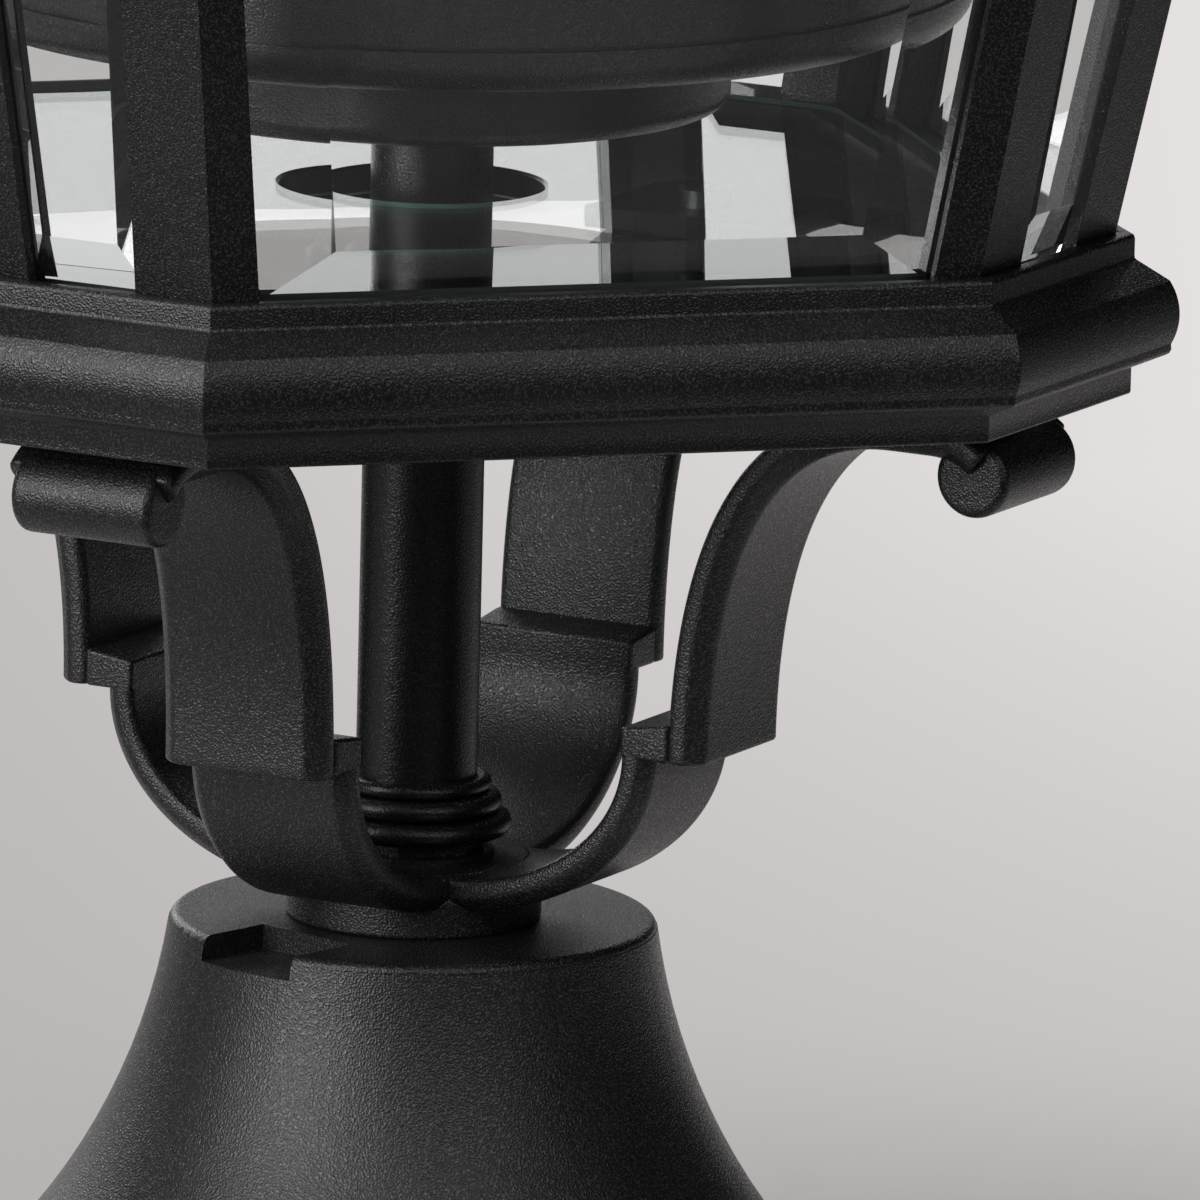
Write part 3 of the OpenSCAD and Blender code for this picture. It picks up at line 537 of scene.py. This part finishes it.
def shaded_spun_coat():
    """The smoother coat of the stem and the pan, made once, with its tint darkened as painted shade."""
    made = bpy.data.materials.get("shaded_spun_coat")
    if made:
        return made
    s = bpy.context.scene.lantern_coat
    # Painted shade: the tint is 0.6 of the castings' tint; the lower roughness and relief are the smoother
    # coat's own.
    return powder_coat("shaded_spun_coat", scaled(s.tint, 0.6), s.roughness - 0.03, s.grain, s.relief * 0.6)


# Operators.


class LANTERN_OT_pedestal(bpy.types.Operator):
    """Finishes the flared pedestal and what is in it"""

    bl_idname = "lantern.pedestal"
    bl_label = "Pedestal"

    def execute(self, context):
        dress(["bell_pedestal"], cast_coat())
        dress(["mounting_plate", "bell_washer"], bare_metal("zinc_plate", (0.62, 0.63, 0.64), 0.38))
        dress(["threaded_pipe", "bell_nut", "pan_nut"], bare_metal("brass_thread", (0.74, 0.6, 0.32), 0.3))
        return {"FINISHED"}


class LANTERN_OT_yoke(bpy.types.Operator):
    """Builds the cast yoke: neck, lower loops, four arms and their scrolls"""

    bl_idname = "lantern.yoke"
    bl_label = "Yoke"

    def execute(self, context):
        s, coat = context.scene.lantern_yoke, cast_coat()
        mid = RING_Z - s.arm_thick / 2
        foot, run = ARM_FOOT, ARM_REACH - 0.5
        rise = np.concatenate([
            bezier([(run, foot), (run, foot + 33.8), (run + 10, mid), (run + 35, mid)], 56),
            bezier([(99, mid), (102.5, mid), (105.5, mid - 0.8), (108.5, mid - 3.4)], 12)])
        angle = np.radians(np.linspace(0, 84, 40))
        curve = np.stack([LOOP_FLAT + LOOP_CURVE * np.cos(angle), foot - LOOP_DEPTH * np.sin(angle)], 1)
        side = np.concatenate([[[LOOP_REACH, foot + 2]], curve])
        across = np.concatenate([side * [-1, 1], side[::-1]])
        r, w = s.scroll / 2, s.arm_width / 2
        inner, outer = LOOP_REACH - s.loop_thick / 2 - 0.02, ARM_REACH - s.arm_thick / 2
        ledge = [(inner, foot), (outer, foot - 0.02), (outer, foot + LEDGE_H),
                 (inner, foot + LEDGE_H - LEDGE_FALL)]
        shells = []
        for turn in (45, 135, 225, 315):
            shells += [strap(rise, s.arm_width, s.arm_thick, 2.7, 1.0, turn),
                       slab(ledge, w + 0.02, 0.7, turn),
                       lathe(bar_end(r, w - 2.2, 1.6), "y", (107, 0, RING_Z - 9), turn, 48)]
        shells += [strap(across, s.arm_width, s.loop_thick, 2.2, 0.8, turn) for turn in (45, 135)]
        shells.append(lathe(rounded([(5.2, BELL_TOP), (21, BELL_TOP), (21, BELL_TOP + 6),
                                     (19, BELL_TOP + 10.5), (5.2, BELL_TOP + 10.5)], 0.8)))
        piece("yoke_cast", shells, coat, stands_for=("yoke",))
        return {"FINISHED"}


class LANTERN_OT_ring(bpy.types.Operator):
    """Builds the moulded eight-sided ring with its pads"""

    bl_idname = "lantern.ring"
    bl_label = "Ring"

    def execute(self, context):
        s, coat = context.scene.lantern_coat, cast_coat()
        low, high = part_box("lower_ring")
        bulge = 7.0
        a = high.x / MM - bulge
        c = a * RING_RATIO
        angle = np.radians(np.linspace(-27, 32, 28))
        bead = np.stack([bulge - 10.6 + 10.6 * np.cos(angle), 13.3 + 10.6 * np.sin(angle)], 1)
        lips = [(-0.5, 0), (-0.15, 0.15), (0, 0.5), (0, 4.4), (5.1, 6.7), (5.6, 7.0), (5.9, 7.6)]
        top = [(0.35, 22.1), (0.05, 22.4), (0, 22.8), (0, RING_H - 0.8), (-0.2, RING_H - 0.2),
               (-0.8, RING_H)]
        step = 13.35
        inner = [(-2.8, RING_H), (-2.8, RING_H - 2), (-step, RING_H - 2), (-step, RING_H - 5),
                 (82 - a, RING_H - 5), (82 - a, RING_H - 9), (-5, RING_H - 9), (0, RING_H - 14), (0, 9),
                 (-4, 5.5), (-4, 0)]
        section = np.concatenate([lips, bead, top, inner])
        section[:, 1] += RING_Z
        shells = [octagon_sweep(section, a, c, s.edge)]
        shells += [block((84, -17, RING_Z), (c - 2, 17, RING_Z + 4), 0.5, turn)
                   for turn in (45, 135, 225, 315)]
        piece("ring_moulding", shells, coat, stands_for=("lower_ring",))
        return {"FINISHED"}


class LANTERN_OT_cage(bpy.types.Operator):
    """Rounds the cage's posts and finishes its beads and screws"""

    bl_idname = "lantern.cage"
    bl_label = "Cage"

    def execute(self, context):
        s = context.scene.lantern_coat
        softened("cage_frame", cast_coat(), s.edge)
        dress(["glazing_beads"], shaded_spun_coat())
        steel = bare_metal("bright_steel", (0.6, 0.61, 0.62), 0.32)
        dress(["ring_screws", "cage_screws", "bridge_screws", "finial_stud", "roof_bridge"], steel)
        return {"FINISHED"}


class LANTERN_OT_glazing(bpy.types.Operator):
    """Finishes the bevelled panes and the glass floor"""

    bl_idname = "lantern.glazing"
    bl_label = "Glazing"

    def execute(self, context):
        s = context.scene.lantern_glass
        clear = clear_glass("pane_glass", tuple(s.pane_tint), s.ior, 0.0)
        for name in [n for n in NODES if n.startswith("pane_")]:
            self.bevelled_pane(name, clear, s.wedge)
        self.floor_plate(clear_glass("floor_glass", tuple(s.floor_tint), s.ior, 0.0),
                         ground_edge("ground_edge", (0.01, 0.014, 0.012), (0.09, 0.2, 0.16)))
        return {"FINISHED"}

    def bevelled_pane(self, name, clear, wedge):
        """Copy of a pane whose outer flat lies deeper by wedge: of the corners, those with the
        largest x dx + y dy - flare z, along the pane's direction d, move inward by it."""
        form = bmesh.new()
        form.from_mesh(NODES[name].data)
        bmesh.ops.remove_doubles(form, verts=form.verts, dist=2e-6)
        bmesh.ops.dissolve_limit(form, angle_limit=math.radians(0.6), verts=form.verts, edges=form.edges)
        low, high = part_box(name)
        way = ((low + high) / 2).xy.normalized()
        ranked = sorted(form.verts, key=lambda v: v.co.xy.dot(way) - FLARE * v.co.z)
        for vert in ranked[-4:]:
            vert.co.xy -= way * wedge * MM
        mesh = bpy.data.meshes.new(name + "_glass")
        form.to_mesh(mesh)
        form.free()
        pane = finished(name + "_glass", mesh, clear, "lantern", (name,), 0)
        for face in mesh.polygons:
            face.use_smooth = False
        return pane

    def floor_plate(self, clear, edge):
        """Eight-sided plate with a round hole: rings of points from the hole out to the rim, with
        narrow arrises, where the hole's point and the rim's point of a ring share an angle."""
        low, high = (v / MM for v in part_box("floor_glass"))
        a, z0, z1, bevel = high.x, low.z, high.z, 0.5
        c = a * CAGE_RATIO
        angle = np.linspace(0, 2 * math.pi, 192, endpoint=False)
        way = np.stack([np.cos(angle), np.sin(angle)], 1)
        sides = np.radians(np.arange(8) * 45.0)
        reach = np.array([a, c] * 4) / np.maximum(np.cos(angle[:, None] - sides), 1e-6)
        rim = way * reach.min(1)[:, None]
        hole = way * FLOOR_HOLE_R
        rings = [(hole, z0 + bevel), (hole, z1 - bevel), (hole + way * bevel, z1), (rim - way * bevel, z1),
                 (rim, z1 - bevel), (rim, z0 + bevel), (rim - way * bevel, z0), (hole + way * bevel, z0)]
        grid = np.stack([np.concatenate([p, np.full((len(p), 1), z)], 1) for p, z in rings])
        points, faces = shell(grid, path_closed=True)
        plate = piece("floor_plate", [(points, faces)], clear, stands_for=("floor_glass",))
        plate.data.materials.append(edge)
        for face in plate.data.polygons:
            face.use_smooth = False
            if abs(face.normal.z) < 0.9:
                face.material_index = 1
        return plate


class LANTERN_OT_stem(bpy.types.Operator):
    """Finishes the stem, its nuts and washers, and the lamp pan"""

    bl_idname = "lantern.stem"
    bl_label = "Stem and pan"

    def execute(self, context):
        dress(["bead_ring", "stem_cup", "stem_ferrule", "stem_tube", "stem_collar", "pan_dish", "lamp_pan",
               "pan_cover"], shaded_spun_coat())
        dress(["hub_washer", "hub_nut", "side_screws"], cast_coat())
        return {"FINISHED"}


class LANTERN_OT_lamps(bpy.types.Operator):
    """Finishes the lampholders, candle sleeves and lamps"""

    bl_idname = "lantern.lamps"
    bl_label = "Lamps"

    def execute(self, context):
        ivory = moulded("candle_ivory", (0.84, 0.79, 0.66), 0.42, (1.0, 0.97, 0.9))
        holder = moulded("holder_white", (0.8, 0.78, 0.72), 0.5, (1.0, 0.98, 0.95))
        frost = moulded("lamp_frost", (0.9, 0.88, 0.83), 0.28, (1.0, 1.0, 0.97))
        for i in (1, 2, 3):
            dress([f"candle_sleeve_{i}"], ivory)
            dress([f"lampholder_{i}"], holder)
            dress([f"lamp_{i}"], frost)
        return {"FINISHED"}


class LANTERN_OT_roof(bpy.types.Operator):
    """Builds the swept roof over its moulded eave and finishes the cap and the finial"""

    bl_idname = "lantern.roof"
    bl_label = "Roof and finial"

    def execute(self, context):
        coat = cast_coat()
        roof = softened("roof", coat, 0.5, "roof")
        roof.data.set_sharp_from_angle(angle=math.radians(7))
        dress(["roof_cap", "finial"], coat)
        dress(["roof_gasket"], moulded("seal_rubber", (0.02, 0.02, 0.02), 0.7, (1.0, 1.0, 1.0)))
        return {"FINISHED"}


class LANTERN_OT_stage(bpy.types.Operator):
    """Makes the floor, the lamps, the even light and the camera"""

    bl_idname = "lantern.stage"
    bl_label = "Stage"

    def execute(self, context):
        s, scene = context.scene.lantern_stage, context.scene
        scene.view_settings.view_transform = "Standard"
        self.floor(s)
        self.lamp("key_light", s.key, -48, 30, 1.6, 1.8, s)
        self.lamp("low_key_light", s.low_key, -48, 12, 1.6, 1.0, s)
        self.lamp("front_light", s.fill, 0, 45, 1.6, 1.2, s)
        self.lamp("right_light", s.fill, 35, 30, 1.6, 1.0, s)
        self.lamp("left_light", s.rim, -150, 18, 1.6, 1.0, s)
        self.lamp("top_light", s.rim, 180, 60, 1.6, 1.2, s)
        self.lamp("back_light", s.back, 180, 13, 1.6, 1.1, s, 0.22)
        self.lamp("low_back_light", s.back * 0.5, 180, 5.5, 1.6, 1.1, s, 0.2)
        world = bpy.data.worlds.new("even_light")
        scene.world = world
        book = Book(world)
        book.close(book.add("ShaderNodeBackground", {}, {"Color": (0.96, 0.97, 1, 1),
                                                          "Strength": s.ambient}))
        self.camera(s)
        return {"FINISHED"}

    def lamp(self, name, power, azimuth, elevation, distance, size, s, height=0):
        """Soft box at an azimuth from the camera's own, aimed at the ring."""
        data = bpy.data.lights.new(name, "AREA")
        data.shape = "RECTANGLE"
        data.energy, data.size, data.size_y = power, size, height or size
        obj = bpy.data.objects.new(name, data)
        bpy.context.scene.collection.objects.link(obj)
        a, e = math.radians(azimuth) - s.azimuth, math.radians(elevation)
        way = np.array([math.sin(a) * math.cos(e), -math.cos(a) * math.cos(e), math.sin(e)])
        z = way
        x = np.cross([0, 0, 1], z)
        x /= np.linalg.norm(x)
        y = np.cross(z, x)
        at = way * distance + np.array([0, 0, 0.2])
        rows = [[*r, t] for r, t in zip(np.stack([x, y, z], 1).tolist(), at)]
        obj.matrix_world = Matrix(rows + [[0, 0, 0, 1]])

    def floor(self, s):
        """Flat floor, lit near the lantern and even farther off. Its colour drifts from the dim side
        and the front to the light side and the back as painted light falloff, and the lantern
        mirrors a painted dark front that only reflections and bounced light see."""
        reach = 12.0
        mesh = bpy.data.meshes.new("floor")
        mesh.from_pydata([(-reach, -reach, 0), (reach, -reach, 0), (reach, reach, 0), (-reach, reach, 0)],
                         [], [(0, 1, 2, 3)])
        obj = bpy.data.objects.new("floor", mesh)
        bpy.context.scene.collection.objects.link(obj)
        book = Book(bpy.data.materials.new("floor_paper"))
        place = book.place()
        right = (math.cos(s.azimuth), -math.sin(s.azimuth), 0)
        onward = (math.sin(s.azimuth), math.cos(s.azimuth), 0)
        across, ahead = (book.add("ShaderNodeVectorMath", {"operation": "DOT_PRODUCT"},
                                  {0: place, 1: way}, "Value") for way in (right, onward))
        away = book.add("ShaderNodeVectorMath", {"operation": "LENGTH"}, {0: place}, "Value")
        # Painted light falloff: share runs from the dim side and the front to the light side and the back.
        side, depth = ((across + 0.09) / 0.25).limited(), ((ahead - 0.2) / 0.6).limited()
        share = side * 0.25 + depth * (side * 0.5 + 0.25)
        front = ahead.ramp(-0.12, -0.3)
        wide = ((across * across) ** 0.5).ramp(0.22, 0.6)
        direct = (book.add("ShaderNodeLightPath", out="Is Camera Ray")
                  + book.add("ShaderNodeLightPath", out="Is Transmission Ray")).limited()
        # Painted dark reflection: camera and transmission rays see around, other rays the darker front and
        # flank colours.
        front_tone = book.blend(direct, tuple(s.front), tuple(s.around))
        flank_tone = book.blend(direct, scaled(s.far_dim, s.flank), tuple(s.around))
        near_tone = book.blend(front, book.blend(share, tuple(s.dim), tuple(s.pale)), front_tone)
        far_tone = book.blend(wide, book.blend(share, tuple(s.far_dim), tuple(s.far_pale)), flank_tone)
        far_tone = book.blend(front, far_tone, front_tone)
        near = book.add("ShaderNodeBsdfDiffuse", {}, {"Color": near_tone})
        seen = direct + book.add("ShaderNodeLightPath", out="Is Glossy Ray")
        far = book.add("ShaderNodeEmission", {}, {"Color": far_tone, "Strength": 1.0})
        apart = away.ramp(0.12, 0.32) * seen.limited()
        book.close(book.add("ShaderNodeMixShader", {}, {0: apart, 1: near, 2: far}))
        mesh.materials.append(book.owner)

    def camera(self, s):
        """Camera fitted to the photograph: a long lens, level with a point over the pedestal."""
        data = bpy.data.cameras.new("camera")
        data.sensor_width, data.lens = 36.0, 600.0
        data.clip_start, data.clip_end = 0.1, 100.0
        obj = bpy.data.objects.new("camera", data)
        bpy.context.scene.collection.objects.link(obj)
        ce, se, ca, sa = (f(v) for v in (s.elevation, s.azimuth) for f in (math.cos, math.sin))
        rows = np.array([[1, 0, 0], [0, -se, -ce], [0, ce, -se]])
        cr, sr = math.cos(s.roll), math.sin(s.roll)
        rows = np.array([[cr, -sr, 0], [sr, cr, 0], [0, 0, 1]]) @ rows
        rows = rows @ np.array([[ca, -sa, 0], [sa, ca, 0], [0, 0, 1]])
        aim = np.array([-0.03065, 0.05132, 3.284])
        at = np.array([0, 0, BELL_TOP * MM]) - rows.T @ aim
        basis = np.stack([rows[0], -rows[1], -rows[2]], 1)
        obj.matrix_world = Matrix([[*r, t] for r, t in zip(basis.tolist(), at)] + [[0, 0, 0, 1]])
        bpy.context.scene.camera = obj


OPERATORS = (LANTERN_OT_stage, LANTERN_OT_pedestal, LANTERN_OT_yoke, LANTERN_OT_ring, LANTERN_OT_cage,
             LANTERN_OT_glazing, LANTERN_OT_stem, LANTERN_OT_lamps, LANTERN_OT_roof)


class LANTERN_PT_panel(bpy.types.Panel):
    """Lists the lantern's steps and settings"""

    bl_idname = "LANTERN_PT_panel"
    bl_label = "Pedestal lantern"
    bl_space_type = "VIEW_3D"
    bl_region_type = "UI"
    bl_category = "Lantern"

    def draw(self, context):
        for kind in OPERATORS:
            self.layout.operator(kind.bl_idname)
        for name, group in GROUPS.items():
            box = self.layout.box()
            for key in group.__annotations__:
                box.prop(getattr(context.scene, name), key)


def register():
    for kind in (*GROUPS.values(), *OPERATORS, LANTERN_PT_panel):
        bpy.utils.register_class(kind)
    for name, group in GROUPS.items():
        setattr(bpy.types.Scene, name, bpy.props.PointerProperty(type=group))


def unregister():
    for name in GROUPS:
        delattr(bpy.types.Scene, name)
    for kind in (LANTERN_PT_panel, *reversed(OPERATORS), *GROUPS.values()):
        bpy.utils.unregister_class(kind)


def main():
    register()
    for kind in OPERATORS:
        group, name = kind.bl_idname.split(".")
        getattr(getattr(bpy.ops, group), name)()


if __name__ == "__main__":
    main()
